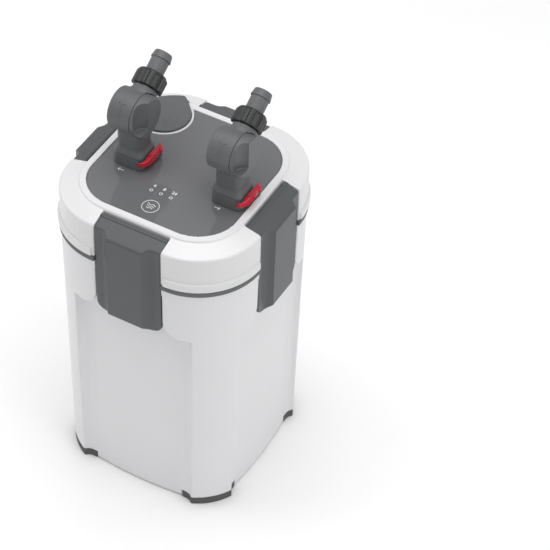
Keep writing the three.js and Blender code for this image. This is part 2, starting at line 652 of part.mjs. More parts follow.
/** Lock lever: a crescent beside the socket that hooks round its front corner. */
function makeLever() {
  const plan = new THREE.Shape();
  plan.moveTo(18.6, 12);
  plan.lineTo(18.6, -9.5);
  plan.quadraticCurveTo(18.4, -16.7, 11.5, -16.9);
  plan.quadraticCurveTo(24, -19.5, 24.4, 0);
  plan.quadraticCurveTo(24.6, 10, 22.5, 17);
  plan.lineTo(19.5, 17);
  plan.closePath();
  const { pivotX, pivotY, bottom, top, clearX, clearY } = LEVER;
  const boss = rod(LEVER.boss, bottom, top - 1.5, 16).translate([pivotX, pivotY, 0]);
  const hole = rod(LEVER.pin + 0.3, bottom - 1, top + 1, 12).translate([pivotX, pivotY, 0]);
  const socketClear = stack([
    roundedRing(clearX, clearY, 7, bottom - 1), roundedRing(clearX, clearY, 7, top + 1),
  ]);
  return cut(join(prism(plan, bottom, top, 8), boss), hole, socketClear);
}

function makeValveBody() {
  const { drumRadius, drumLeft, drumRight, columnHalf, socketTop, spigot, spigotBottom, bore, drumZ } = VALVE;
  const base = socketTop + GAP;
  const column = stack([
    roundedRing(17.4, 15.4, 7, base), roundedRing(17, 15, 7, base + 1.5),
    roundedRing(columnHalf, 13, 6, base + 8), roundedRing(columnHalf, 13, 6, drumZ),
  ]);
  const drum = alongX(turned([
    [0, drumLeft], [drumRadius - 1.6, drumLeft], [drumRadius, drumLeft + 1.6], [drumRadius, drumRight],
    [0, drumRight],
  ], 30));
  const neck = alongNeck(turned([
    [0, 0], [HOSE.neck, 0], [HOSE.neck, HOSE.neckEnd], [HOSE.thread, HOSE.neckEnd],
    [HOSE.thread, HOSE.threadEnd], [0, HOSE.threadEnd],
  ], 20));
  const plug = turned([
    [0, spigotBottom], [spigot - 1, spigotBottom], [spigot, spigotBottom + 1],
    [spigot, -6], [spigot - 0.9, -6],
    [spigot - 0.9, -3.8], [spigot, -3.8], [spigot, base + 1], [0, base + 1],
  ], 20);
  return cut(
    join(column, drum, neck, plug),
    alongX(rod(drumRadius + 0.6, drumRight, 40, 30)),
    alongX(rod(VALVE.rotor + GAP, VALVE.rotorLeft - 0.4, drumRight + 1, 20)),
    rod(bore, spigotBottom - 1, drumZ, 14),
    alongNeck(rod(bore, 0, HOSE.threadEnd + 1, 14)),
  );
}

/** Tap rotor: a barrel across the drum, with one bore down to the spigot and one out along the neck. */
function makeRotor() {
  const { rotor, rotorLeft, rotorRight, bore, neckTilt, drumZ } = VALVE;
  const passage = rod(bore - 0.5, 0, rotor + 7, 20);
  const barrel = rod(rotor, rotorLeft, rotorRight, 20).rotate([0, 90, 0]);
  const bored = cut(barrel, passage.rotate([180, 0, 0]), passage.rotate([-neckTilt, 0, 0]));
  return bored.translate([0, 0, drumZ]);
}

/** Tap knob: a disc whose outer face is scooped away in front, which leaves a grip for two fingers. */
function makeKnob() {
  const { drumRadius, knobLeft, knobRight } = VALVE;
  const disc = turned([
    [0, knobLeft], [drumRadius, knobLeft], [drumRadius, knobRight - 2], [drumRadius - 2, knobRight],
    [0, knobRight],
  ], 30);
  const scoop = rod(11.5, -11.3, 30, 24).translate([knobRight + 2, -14.9, VALVE.drumZ]);
  return cut(alongX(disc), scoop);
}

function makeNut() {
  const ribs = 9;
  const plan = new THREE.Shape();
  const pitch = TURN / ribs;
  for (let i = 0; i < ribs; i++) {
    const start = i * pitch;
    plan.absarc(0, 0, HOSE.nutRib, start, start + pitch * 0.42, false);
    plan.absarc(0, 0, HOSE.nutRadius, start + pitch * 0.52, start + pitch * 0.9, false);
  }
  plan.closePath();
  const ribbed = prism(plan, HOSE.neckEnd + GAP, HOSE.nutEnd, 1);
  const barrel = turned([
    [0, HOSE.neckEnd + GAP], [HOSE.nutRib - 1.5, HOSE.neckEnd + GAP], [HOSE.nutRib, HOSE.neckEnd + 2],
    [HOSE.nutRib, HOSE.nutEnd - 4], [HOSE.nutRib - 4, HOSE.nutEnd], [0, HOSE.nutEnd],
  ], 24);
  return cut(
    common(ribbed, barrel), rod(HOSE.thread + 0.4, 20, HOSE.flangeEnd + GAP, 20),
    rod(HOSE.tail + 0.4, 20, HOSE.nutEnd + 1, 20),
  );
}

const makeTail = () => turned([
  [VALVE.bore, HOSE.threadEnd + GAP], [HOSE.thread, HOSE.threadEnd + GAP], [HOSE.thread, HOSE.flangeEnd],
  [HOSE.tail, HOSE.flangeEnd], [HOSE.tail, HOSE.shoulderAt - 1], [HOSE.shoulder, HOSE.shoulderAt],
  [HOSE.tip + 0.4, HOSE.end - 1], [HOSE.tip - 0.4, HOSE.end], [VALVE.bore, HOSE.end],
  [VALVE.bore, HOSE.threadEnd + GAP],
], 20);

const makeSeal = () => tube(VALVE.spigot + 0.45, VALVE.spigot - 0.7, -5.8, -4, 24);

function makeValve(side, x) {
  const valve = new THREE.Group();
  valve.position.set(x, VALVE.y, PANEL.top);
  valve.add(mesh(`${side}_socket`, makeSocket(), 'grey'));
  valve.add(mesh(`${side}_lock_lever`, makeLever(), 'red'));
  valve.add(mesh(`${side}_valve_body`, makeValveBody(), 'grey'));
  valve.add(mesh(`${side}_spigot_seal`, makeSeal(), 'dark'));
  valve.add(mesh(`${side}_tap_rotor`, makeRotor(), 'dark'));
  valve.add(mesh(`${side}_tap_knob`, makeKnob(), 'grey'));
  const hose = new THREE.Group();
  hose.position.z = VALVE.drumZ;
  hose.rotation.x = -deg(VALVE.neckTilt);
  hose.add(mesh(`${side}_union_nut`, makeNut(), 'dark'));
  hose.add(mesh(`${side}_hose_tail`, makeTail(), 'grey'));
  valve.add(hose);
  return valve;
}

filter.add(makeValve('inlet', VALVE.inletX));
filter.add(makeValve('outlet', VALVE.outletX));

export default filter;
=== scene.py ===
import math

import bpy
import numpy as np
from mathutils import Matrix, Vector


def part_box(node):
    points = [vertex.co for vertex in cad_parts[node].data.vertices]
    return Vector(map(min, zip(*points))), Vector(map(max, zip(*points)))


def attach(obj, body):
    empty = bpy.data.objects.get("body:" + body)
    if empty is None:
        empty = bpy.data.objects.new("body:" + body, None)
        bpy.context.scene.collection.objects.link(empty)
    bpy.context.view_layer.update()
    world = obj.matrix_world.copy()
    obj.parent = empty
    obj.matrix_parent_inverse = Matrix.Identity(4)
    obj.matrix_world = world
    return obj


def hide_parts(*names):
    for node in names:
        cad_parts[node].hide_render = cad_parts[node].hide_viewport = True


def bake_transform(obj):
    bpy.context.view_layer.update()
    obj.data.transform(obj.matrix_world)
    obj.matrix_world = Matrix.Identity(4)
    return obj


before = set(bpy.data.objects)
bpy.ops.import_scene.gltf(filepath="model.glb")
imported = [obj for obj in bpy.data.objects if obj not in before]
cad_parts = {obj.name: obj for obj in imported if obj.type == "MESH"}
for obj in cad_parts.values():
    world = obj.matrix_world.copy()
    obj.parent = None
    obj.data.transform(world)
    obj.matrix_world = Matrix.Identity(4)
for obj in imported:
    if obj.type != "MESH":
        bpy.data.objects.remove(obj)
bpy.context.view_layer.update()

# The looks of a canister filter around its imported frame. Shapes are written in millimetres as
# signed distances, negative inside a piece, and become meshes in metres. Every piece keeps its
# place from the frame: "lo" and "hi" below are corners of CAD nodes at rest.

MM = 0.001


# ------------------------------------------------------------------ places from the frame
def corners(node):
    """Lowest and highest corner of a CAD node, in millimetres."""
    lo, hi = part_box(node)
    return np.array(lo) / MM, np.array(hi) / MM


def middle_of(node):
    lo, hi = corners(node)
    return (lo + hi) / 2


body_lo, body_hi = corners("canister_body")
gasket_lo, gasket_hi = corners("lid_gasket")
lid_lo, lid_hi = corners("lid_shell")
panel_lo, panel_hi = corners("top_panel")
latch_lo, latch_hi = corners("latch_front")
button_lo, button_hi = corners("priming_button")
foot_lo, foot_hi = corners("foot_back_right")
pin_middle = middle_of("latch_pin_front")
seal_middle = {valve: middle_of(f"{valve}_spigot_seal") for valve in ("inlet", "outlet")}
valve_x = {valve: middle[0] for valve, middle in seal_middle.items()}

CORNER = 42.0  # every outline of the housing has its corner arcs centred here
BODY_TOP_HALF = body_hi[0]
BODY_LOBE_HALF = BODY_TOP_HALF - 1.1
BODY_FOOT_HALF = BODY_TOP_HALF - 4.9
LOBE_Z = 258.5
LOBE_ROUND = 20.0
CHANNEL_HALF = 39.8
POCKET_HALF = 39.3
POCKET_DEPTH = 104.0
FLANGE_Z = body_hi[2] - 10
INNER_HALF = 94.0
FLOOR_TOP = 14.0
FLOOR_UNDER = 10.0
RECESS_HALF = 71.0
RECESS_DEPTH = 97.2
RECESS_BOW = 3.0
FOOT_START = foot_lo[0]
FOOT_INNER = 78.0
RING_HALF = 91.6
PANEL_HALF = panel_hi[0]
HINGE_D = -pin_middle[1]
TROUGH_START = 92.5
HINGE_Z = pin_middle[2]
BUTTON_ALONG = 87.0
BUTTON_RADIUS = 28.5
BUTTON_OUTER = 57.0
RIM_IN, RIM_OUT = 0.3, 2.7
INNER_CORNER, INNER_CORNER_START = 60.0, 68.0  # the hollow reaches further out here
GASKET_INNER = 99.0
LID_INSET, LID_WALL, LID_ROOF = 2.4, 3.2, 7.3
LID_OPENING_HALF = 80.0
BEAD_INNER, BEAD_HEIGHT, BEAD_ROUND = 105.0, 10.5, 2.2
VALVE_Y = seal_middle["inlet"][1]


# ------------------------------------------------------------------ signed distances
def both(a, b, r=0.0):
    """Where a and b overlap, with their edge rounded to radius r."""
    if r == 0:
        return np.maximum(a, b)
    return np.minimum(-r, np.maximum(a, b)) + np.hypot(np.maximum(a + r, 0), np.maximum(b + r, 0))


def either(a, b, r=0.0):
    """a and b joined, with their inner corner filled to radius r."""
    if r == 0:
        return np.minimum(a, b)
    return np.maximum(r, np.minimum(a, b)) - np.hypot(np.maximum(r - a, 0), np.maximum(r - b, 0))


def less(a, b, r=0.0):
    """a with b taken away."""
    return both(a, -b, r)


def slab(t, t0, t1):
    return np.abs(t - (t0 + t1) / 2) - (t1 - t0) / 2


def rect(u, v, half_u, half_v, r):
    qu, qv = np.abs(u) - half_u + r, np.abs(v) - half_v + r
    return np.hypot(np.maximum(qu, 0), np.maximum(qv, 0)) + np.minimum(np.maximum(qu, qv), 0) - r


def reach(x, y):
    """Half-width of the housing outline that passes through a point."""
    return CORNER + np.hypot(np.maximum(np.abs(x) - CORNER, 0), np.maximum(np.abs(y) - CORNER, 0))


def side(x, y):
    """A point as (distance across the nearest side, distance out), the same on all four sides."""
    return np.minimum(np.abs(x), np.abs(y)), np.maximum(np.abs(x), np.abs(y))


def smooth(t):
    t = np.clip(t, 0, 1)
    return t * t * (3 - 2 * t)


def outline_distance(points, x, y):
    """Signed distance to a closed outline of straight steps."""
    nearest, inside = np.full(np.broadcast(x, y).shape, 1e9), np.zeros(np.broadcast(x, y).shape, bool)
    for (ax, ay), (bx, by) in zip(points, points[1:] + points[:1]):
        ex, ey = bx - ax, by - ay
        t = np.clip(((x - ax) * ex + (y - ay) * ey) / (ex * ex + ey * ey), 0, 1)
        nearest = np.minimum(nearest, np.hypot(x - ax - t * ex, y - ay - t * ey))
        if ey != 0:
            inside ^= ((ay > y) != (by > y)) & (x < ax + (y - ay) / ey * ex)
    return np.where(inside, -nearest, nearest)


def bezier(start, control, end, steps=8):
    t = np.linspace(0, 1, steps, endpoint=False)
    a, b, c = (1 - t) ** 2, 2 * t * (1 - t), t**2
    return [(float(p), float(q)) for p, q in zip(
        a * start[0] + b * control[0] + c * end[0], a * start[1] + b * control[1] + c * end[1])]


# ------------------------------------------------------------------ from distance to mesh
def ticks(start, *runs):
    """Grid positions from start, then through (step, end) pairs."""
    places = [np.array([float(start)])]
    for step, end in zip(runs[::2], runs[1::2]):
        begin = places[-1][-1]
        count = max(1, round((end - begin) / step))
        places.append(np.linspace(begin, end, count + 1)[1:])
    return np.concatenate(places)


def mirrored(*runs):
    """Grid positions from 0 outwards through (step, end) pairs, and the same below 0."""
    upper = ticks(0, *runs)
    return np.concatenate([-upper[:0:-1], upper])


def slope_of(field, p, e=0.04):
    """Gradient of a field at points p."""
    out = np.empty_like(p)
    for k in range(3):
        step = np.zeros(3)
        step[k] = e
        out[:, k] = (field(*(p + step).T) - field(*(p - step).T)) / (2 * e)
    return out


NEWTON_STEPS, NEWTON_REACH = 3, 0.6


def surface(name, field, grid, turn=0):
    """A mesh of the surface where field is 0: one vertex in each crossed cell, moved onto the surface."""
    shape = tuple(len(g) for g in grid)
    value = np.broadcast_to(field(*np.ix_(*grid)), shape).astype(np.float32)
    inside = value < 0
    crossings, cells, flips = [], [], []
    for axis in range(3):
        low = [slice(None)] * 3
        high = [slice(None)] * 3
        low[axis], high[axis] = slice(0, -1), slice(1, None)
        i = np.argwhere(inside[tuple(low)] != inside[tuple(high)])
        j = i.copy()
        j[:, axis] += 1
        vi, vj = value[tuple(i.T)], value[tuple(j.T)]
        p = np.stack([grid[k][i[:, k]] for k in range(3)], 1)
        t = vi / (vi - vj)
        p[:, axis] += t * (grid[axis][j[:, axis]] - grid[axis][i[:, axis]])
        u, v = (axis + 1) % 3, (axis + 2) % 3
        for du, dv in ((0, 0), (-1, 0), (-1, -1), (0, -1)):
            c = i.copy()
            c[:, u] += du
            c[:, v] += dv
            cells.append(np.ravel_multi_index(tuple(c.T), shape))
            crossings.append(p)
        flips.append(~inside[tuple(i.T)])
    counts = [len(f) for f in flips]
    _, index = np.unique(np.concatenate(cells), return_inverse=True)
    points = np.concatenate(crossings)
    share = np.bincount(index)
    verts = np.stack([np.bincount(index, points[:, k]) / share for k in range(3)], 1)
    quads, start = [], 0
    for n, flip in zip(counts, flips):
        q = index[start:start + 4 * n].reshape(4, n).T
        quads.append(np.where(flip[:, None], q[:, ::-1], q))
        start += 4 * n
    for _ in range(NEWTON_STEPS):
        g = slope_of(field, verts)
        step = field(*verts.T)[:, None] * g / np.maximum((g * g).sum(1), 0.05)[:, None]
        verts -= np.clip(step, -NEWTON_REACH, NEWTON_REACH)
    normals = slope_of(field, verts)
    normals /= np.maximum(np.linalg.norm(normals, axis=1), 1e-6)[:, None]
    cos, sin = round(math.cos(math.radians(turn)), 12), round(math.sin(math.radians(turn)), 12)
    spin = np.array([[cos, -sin, 0], [sin, cos, 0], [0, 0, 1]])
    return make_mesh(name, verts @ spin.T * MM, np.concatenate(quads), normals @ spin.T)


def add_object(name, data):
    obj = bpy.data.objects.new(name, data)
    bpy.context.scene.collection.objects.link(obj)
    return obj


def make_mesh(name, verts, quads, normals):
    mesh = bpy.data.meshes.new(name)
    mesh.vertices.add(len(verts))
    mesh.vertices.foreach_set("co", verts.astype(np.float32).ravel())
    mesh.loops.add(quads.size)
    mesh.loops.foreach_set("vertex_index", quads.astype(np.int32).ravel())
    mesh.polygons.add(len(quads))
    mesh.polygons.foreach_set("loop_start", np.arange(0, quads.size, 4, dtype=np.int32))
    mesh.update(calc_edges=True)
    mesh.validate()
    mesh.polygons.foreach_set("use_smooth", np.ones(len(mesh.polygons), bool))
    mesh.normals_split_custom_set_from_vertices(normals.tolist())
    return add_object(name, mesh)


# ------------------------------------------------------------------ materials
def moulded(name, colour, roughness, variation=0.03, grain=0.0, grain_scale=900, depth=0.00006, **extra):
    """Moulded plastic: broad colour drift, uneven gloss and a fine grain in the surface."""
    mat = bpy.data.materials.new(name)
    mat.use_nodes = True
    nodes, links = mat.node_tree.nodes, mat.node_tree.links
    shader = nodes["Principled BSDF"]
    coords = nodes.new("ShaderNodeTexCoord")
    broad = nodes.new("ShaderNodeTexNoise")
    broad.inputs["Scale"].default_value = 14
    broad.inputs["Detail"].default_value = 3
    links.new(coords.outputs["Object"], broad.inputs["Vector"])
    drift = nodes.new("ShaderNodeMix")
    drift.data_type = "RGBA"
    drift.inputs["A"].default_value = (*[c * (1 - variation) for c in colour], 1)
    drift.inputs["B"].default_value = (*[min(1, c * (1 + variation)) for c in colour], 1)
    links.new(broad.outputs["Fac"], drift.inputs["Factor"])
    links.new(drift.outputs["Result"], shader.inputs["Base Color"])
    sheen = nodes.new("ShaderNodeMapRange")
    sheen.inputs["To Min"].default_value = roughness * 0.88
    sheen.inputs["To Max"].default_value = min(1, roughness * 1.12)
    links.new(broad.outputs["Fac"], sheen.inputs["Value"])
    links.new(sheen.outputs["Result"], shader.inputs["Roughness"])
    if grain:
        fine = nodes.new("ShaderNodeTexNoise")
        fine.inputs["Scale"].default_value = grain_scale
        fine.inputs["Detail"].default_value = 2
        links.new(coords.outputs["Object"], fine.inputs["Vector"])
        bump = nodes.new("ShaderNodeBump")
        bump.inputs["Strength"].default_value = grain
        bump.inputs["Distance"].default_value = depth
        links.new(fine.outputs["Fac"], bump.inputs["Height"])
        links.new(bump.outputs["Normal"], shader.inputs["Normal"])
    for socket, setting in extra.items():
        shader.inputs[socket.replace("_", " ")].default_value = setting
    return mat


white = moulded("white_shell", (0.735, 0.735, 0.748), 0.34, 0.012, 0.10, 1400)
white_lid = moulded("white_lid", (0.725, 0.725, 0.735), 0.28, 0.010, 0.08, 1400)
grey = moulded("grey_moulding", (0.108, 0.113, 0.118), 0.46, 0.05, 0.35, 1500)
latch_grey = moulded("latch_moulding", (0.076, 0.082, 0.087), 0.42, 0.05, 0.30, 1500)
gloss = moulded("panel_gloss", (0.142, 0.144, 0.152), 0.10, 0.02, Coat_Weight=0.6, Coat_Roughness=0.04)
black = moulded("black_moulding", (0.018, 0.019, 0.020), 0.36, 0.10, 0.30, 1300)
dark = moulded("dark_moulding", (0.035, 0.036, 0.038), 0.45, 0.08, 0.30, 1300)
rubber = moulded("rubber", (0.130, 0.133, 0.136), 0.72, 0.06, 0.50, 1000)
foot_rubber = moulded("foot_rubber", (0.090, 0.092, 0.094), 0.78, 0.06, 0.55, 1000)
red = moulded("red_moulding", (0.50, 0.010, 0.032), 0.28, 0.05, 0.10, 1400, Coat_Weight=0.3)
print_white = moulded("printed_mark", (0.78, 0.79, 0.80), 0.50, 0.02)
steel = moulded("steel", (0.62, 0.63, 0.64), 0.26, 0.05, 0.20, 2500, Metallic=1.0)
board = moulded("solder_mask", (0.02, 0.13, 0.05), 0.40, 0.25, 0.40, 500)
basket = moulded("basket_moulding", (0.045, 0.047, 0.051), 0.48, 0.06, 0.30, 1200)
sponge = moulded("open_foam", (0.040, 0.115, 0.190), 0.95, 0.35, 1.0, 420, 0.0012)
wool = moulded("filter_wool", (0.82, 0.80, 0.75), 0.95, 0.10, 1.0, 300, 0.0010)
ceramic = moulded("fired_ceramic", (0.70, 0.60, 0.45), 0.88, 0.18, 0.90, 260, 0.0010)
lamp_glass = moulded("quartz_glass", (0.90, 0.96, 0.97), 0.03, 0.01, Transmission_Weight=0.95, IOR=1.46)
lamp_white = moulded("frosted_lamp", (0.80, 0.82, 0.84), 0.40, 0.04, 0.20, 900)


def paint(obj, material):
    obj.data.materials.clear()
    obj.data.materials.append(material)


def show(obj, material, body, replaced=()):
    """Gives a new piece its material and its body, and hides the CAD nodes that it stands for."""
    paint(obj, material)
    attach(obj, body)
    if replaced:
        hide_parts(*replaced)
    return obj


# ------------------------------------------------------------------ bucket, seal and feet
def recess(x, y, z):
    """The shallow recess in each side, with the channel between the lobes above it."""
    across, out = side(x, y)
    floor = RECESS_DEPTH + RECESS_BOW * (1 - np.clip(across / 52, 0, 1) ** 2) - out
    plan = both(floor, across - RECESS_HALF, 11)
    channel = both(across - CHANNEL_HALF, z - FLANGE_Z)
    face = either(z - LOBE_Z, channel, LOBE_ROUND)
    return both(plan, face, 2.0)


def body_half(z):
    heights = [body_lo[2], LOBE_Z, body_hi[2]]
    return np.interp(z, heights, [BODY_FOOT_HALF, BODY_LOBE_HALF, BODY_TOP_HALF])


def body_field(x, y, z):
    across, out = side(x, y)
    far = reach(x, y)
    shell = both(far - body_half(z), slab(z, body_lo[2], body_hi[2]), 1.0)
    shell = less(shell, recess(x, y, z), 1.6)
    shell = less(shell, both(both(across - POCKET_HALF, POCKET_DEPTH - out), FLANGE_Z - z), 0.6)
    corner = np.hypot(np.abs(x) - CORNER, np.abs(y) - CORNER) - INNER_CORNER
    corner = both(corner, INNER_CORNER_START - across)
    hollow = both(either(far - INNER_HALF, corner, 2), FLOOR_TOP - z, 2)
    shell = less(shell, hollow)
    shell = less(shell, both(far - FOOT_INNER, z - FLOOR_UNDER), 1)
    foot_room = both(both(FOOT_START - 0.3 - across, FOOT_INNER - 0.3 - far), z - foot_hi[2] - 0.3)
    return less(shell, foot_room)


def foot_field(x, y, z):
    across, _ = side(x, y)
    far = reach(x, y)
    pad = both(far - BODY_FOOT_HALF + 0.1, FOOT_INNER - far, 0.8)
    pad = less(pad, recess(x, y, z), 0.8)
    pad = both(pad, FOOT_START - across, 0.8)
    return both(both(pad, slab(z, foot_lo[2], foot_hi[2]), 0.8), np.maximum(-x, -y))


def gasket_field(x, y, z):
    across, out = side(x, y)
    far = reach(x, y)
    ring = both(both(far - gasket_hi[0], GASKET_INNER - far), slab(z, gasket_lo[2], gasket_hi[2]), 1.3)
    return less(ring, both(across - POCKET_HALF, POCKET_DEPTH - out), 0.6)


housing_ticks = mirrored(4, 36, 1, 44, 1.9, 66, 1.2, 74, 1.6, 94, 1.05, 117)
body_z = ticks(0, 1, 14, 8, 246, 1.1, 286, 3, 310, 1, 330)
show(surface("bucket", body_field, (housing_ticks, housing_ticks, body_z)),
     white, "root", ["canister_body"])
foot_ticks = ticks(50, 0.9, 111)
for place, turn in (("back_right", 0), ("back_left", 90), ("front_left", 180), ("front_right", 270)):
    foot = surface(f"foot_pad_{place}", foot_field, (foot_ticks, foot_ticks, ticks(-1, 0.8, 12)), turn)
    show(foot, foot_rubber, "root", [f"foot_{place}"])
seal = surface("seal_ring", gasket_field, (housing_ticks, housing_ticks, ticks(325, 0.6, 334.2)))
show(seal, rubber, "root", ["lid_gasket"])


# ------------------------------------------------------------------ head shell, panel and button
def tongue(x, y, grow):
    """Outline of the priming button: a round inner end, straight sides and an arc along the corner."""
    along, across = (y - x) / math.sqrt(2), (x + y) / math.sqrt(2)
    inner = np.hypot(np.minimum(along - BUTTON_ALONG, 0), across) - BUTTON_RADIUS - grow
    outer = np.hypot(along - CORNER * math.sqrt(2), across) - BUTTON_OUTER - grow
    return both(inner, outer, 3)


def latch_pocket(across, out, z):
    """Room for a latch: a trough round its hinge barrel, a short ramp and the flat back of the pocket."""
    trough = both(TROUGH_START - out, HINGE_Z - 4.6 - z, 1.5)
    ramp = both(-0.473 * (out - HINGE_D - 1.08) - 0.881 * (z - HINGE_Z + 3.33), HINGE_D - out)
    section = either(either(trough, ramp, 1.0), POCKET_DEPTH - out, 1.0)
    return both(across - POCKET_HALF, section)


def lid_field(x, y, z):
    across, out = side(x, y)
    far = reach(x, y)
    top = lid_hi[2]
    wall_half = lid_hi[0] - LID_INSET
    rise, run = 5.6, wall_half - RING_HALF
    bevel = ((far - RING_HALF) * rise + (z - top + 1.7) * run) / math.hypot(rise, run)
    shell = both(far - wall_half, bevel, 2.2)
    ring = both(both(far - RING_HALF, z - top, 0.8), top - 12 - z)
    shell = either(shell, ring, 1.2)
    bead = both(far - lid_hi[0], slab(z, lid_lo[2], lid_lo[2] + BEAD_HEIGHT), BEAD_ROUND)
    bead = both(bead, POCKET_HALF + BEAD_ROUND - across, BEAD_ROUND)
    bead = both(bead, BEAD_INNER - far)
    shell = either(shell, bead, 0.5)
    shell = both(shell, lid_lo[2] - z, 0.6)
    cavity = both(both(far - wall_half + LID_WALL, bevel + LID_WALL, 2), z - top + LID_ROOF)
    liner = both(across - POCKET_HALF - 4, either(100.5 - out, both(89 - out, 370.5 - z)))
    cavity = both(cavity, -liner)
    shell = less(less(shell, cavity), far - LID_OPENING_HALF)
    shell = less(shell, both(far - PANEL_HALF - 0.4, panel_lo[2] - 0.3 - z), 0.5)
    shell = less(shell, latch_pocket(across, out, z), 0.7)
    pin_hole = both(np.hypot(out - HINGE_D, z - HINGE_Z) - 1.8, across - 42.5)
    shell = less(shell, pin_hole)
    return less(shell, both(tongue(x, y, RIM_OUT - 0.6), top - 30 - z))


def rim_field(x, y, z):
    """The white line round the priming button."""
    band = both(tongue(x, y, RIM_OUT), -tongue(x, y, RIM_IN))
    band = both(band, slab(z, lid_hi[2] - 7, lid_hi[2] + 0.15), 0.35)
    return both(band, reach(x, y) - RING_HALF + 0.4)


def panel_field(x, y, z):
    plan = both(reach(x, y) - PANEL_HALF, -tongue(x, y, RIM_OUT + 0.3), 2.6)
    for valve_at in valve_x.values():
        plan = both(plan, 12.3 - np.hypot(x - valve_at, y - VALVE_Y))
    return both(plan, slab(z, panel_lo[2], panel_hi[2]), 0.35)


def button_field(x, y, z):
    along, across = (y - x) / math.sqrt(2), (x + y) / math.sqrt(2)
    outer = tongue(x, y, 0)
    slope = (z - button_hi[2]) * 0.985 + (along - 107) * 0.174
    cap = both(both(outer, slab(z, button_lo[2], button_hi[2]), 1.1), slope, 1.5)
    hollow = both(outer + 2.5, both(z - button_hi[2] + 2.5, button_lo[2] - 1 - z))
    cap = less(cap, both(hollow, slope + 2.5))
    for k in range(3):
        length = 9.5 - 1.2 * k
        middle = 76.5 - 4.2 * k + 0.7 * np.sin((across - 3) * 0.36)
        groove = np.hypot(along - middle, (z - button_hi[2]) * 1.2) - 0.75
        cap = less(cap, both(groove, np.abs(across - 3) - length, 0.5), 0.3)
    return cap


head_grid = housing_ticks, housing_ticks, ticks(331, 1, 346, 1.4, 368, 0.75, 385.5)
head = surface("head_shell", lid_field, head_grid)
show(head, white_lid, "root", ["lid_shell"])
panel_ticks = mirrored(3, 60, 1.4, 86)
panel = surface("control_panel", panel_field, (panel_ticks, panel_ticks, ticks(379, 0.3, 383.4)))
show(panel, gloss, "root", ["top_panel"])
tongue_ticks = ticks(-105, 0.8, -30), ticks(30, 0.8, 105)
rim = surface("button_rim", rim_field, (*tongue_ticks, ticks(375.2, 0.8, 384)))
show(rim, white_lid, "root")
button = surface("prime_button", button_field, (*tongue_ticks, ticks(373, 0.6, 387.4)))
show(button, grey, "priming", ["priming_button"])


# ------------------------------------------------------------------ latches
WING_OUT, WING_FOOT = 111.8, 111.2
PROUD = 7.5
PROUD_HALF, FLANK_FOOT = 20.6, 29.5
WING_EDGE, BROW_EDGE = HINGE_Z - 0.9, HINGE_Z - 4.9
UNDERCUT = 0.64
BEND_Z, WING_TOP = 330, 376
CROWN = 3
SKIN = 4


def above(out, z, a, b):
    """Distance above the line from a to b in a section square to a side of the housing."""
    run, fall = b[0] - a[0], a[1] - b[1]
    return ((out - a[0]) * fall + (z - a[1]) * run) / math.hypot(run, fall)


def latch_field(x, y, z):
    """A cover that hangs from its hinge: low wings, a proud middle with hollow flanks, and a hook."""
    across, out = np.abs(x), -y
    low, half = latch_lo[2], latch_hi[0]
    wing = np.interp(z, [low, BEND_Z, WING_TOP], [WING_FOOT, WING_OUT - 0.2, WING_OUT])
    hinge = np.hypot(out - HINGE_D, z - HINGE_Z)
    barrel = -float(above(HINGE_D, HINGE_Z, (HINGE_D, HINGE_Z + CROWN), (WING_OUT, WING_EDGE)))
    crown = both(above(out, z, (HINGE_D, HINGE_Z + CROWN), (WING_OUT, WING_EDGE)),
                 above(out, z, (WING_OUT, WING_EDGE), (WING_OUT + PROUD, BROW_EDGE)), 8)
    outer = both(out - wing, crown, 1.6)
    outer = both(outer, rect(x, z - (low + 150), half, 150, 10.5), 1.2)
    inner = both(out - wing + SKIN, crown + 3.6, 2)
    cover = both(less(outer, inner), HINGE_D + 0.75 - out)
    rise = PROUD * np.clip((FLANK_FOOT - across) / (FLANK_FOOT - PROUD_HALF), 0, 1) ** 2
    raised = both((out - wing - rise) * 0.75, crown, 2.0)
    under = (low + UNDERCUT * np.maximum(out - wing, 0) - z) * 0.85
    raised = both(raised, both(across - FLANK_FOOT, both(under, wing - 1 - out), 0.6), 0.6)
    piece = either(cover, raised, 0.6)
    piece = either(piece, both(hinge - barrel, across - half, 0.6))
    hook = both(both(across - 22, slab(z, 306, 315.2), 0.8), slab(out, 101.6, 109), 1.2)
    piece = either(piece, hook, 0.8)
    return less(piece, hinge - 1.8)


latch_grid = (mirrored(2, 18, 0.7, 31, 0.8, 41), ticks(-121, 0.8, -100, 0.5, -93),
              ticks(latch_lo[2] - 2.4, 0.9, latch_lo[2] + 12, 2, 356, 0.7, 371, 0.5, 382))
for side_name, turn in (("front", 0), ("right", 90), ("back", 180), ("left", 270)):
    latch = surface(f"clamp_{side_name}", latch_field, latch_grid, turn)
    show(latch, latch_grey, f"latch_{side_name}", [f"latch_{side_name}"])


# ------------------------------------------------------------------ hose valves
PANEL_Z = panel_hi[2]
DRUM_Z = 62.9
DRUM_RADIUS = 22.3
NECK_Y, NECK_Z = math.cos(math.radians(30)), 0.5
SEAM_Z = 13.4
DRUM_END, KNOB_START = 7.4, 7.8
HOSE_BORE = 7
LEVER_PIN_X, LEVER_PIN_Y = 20.6, 14.5


def along_neck(x, y, z):
    """Position along the hose axis and radius from it, in the valve's own frame."""
    along = y * NECK_Y + (z - DRUM_Z) * NECK_Z
    lift = -y * NECK_Z + (z - DRUM_Z) * NECK_Y
    return along, np.hypot(x, lift), lift


def from_lever_pin(x, y):
    return np.hypot(x - LEVER_PIN_X, y - LEVER_PIN_Y)


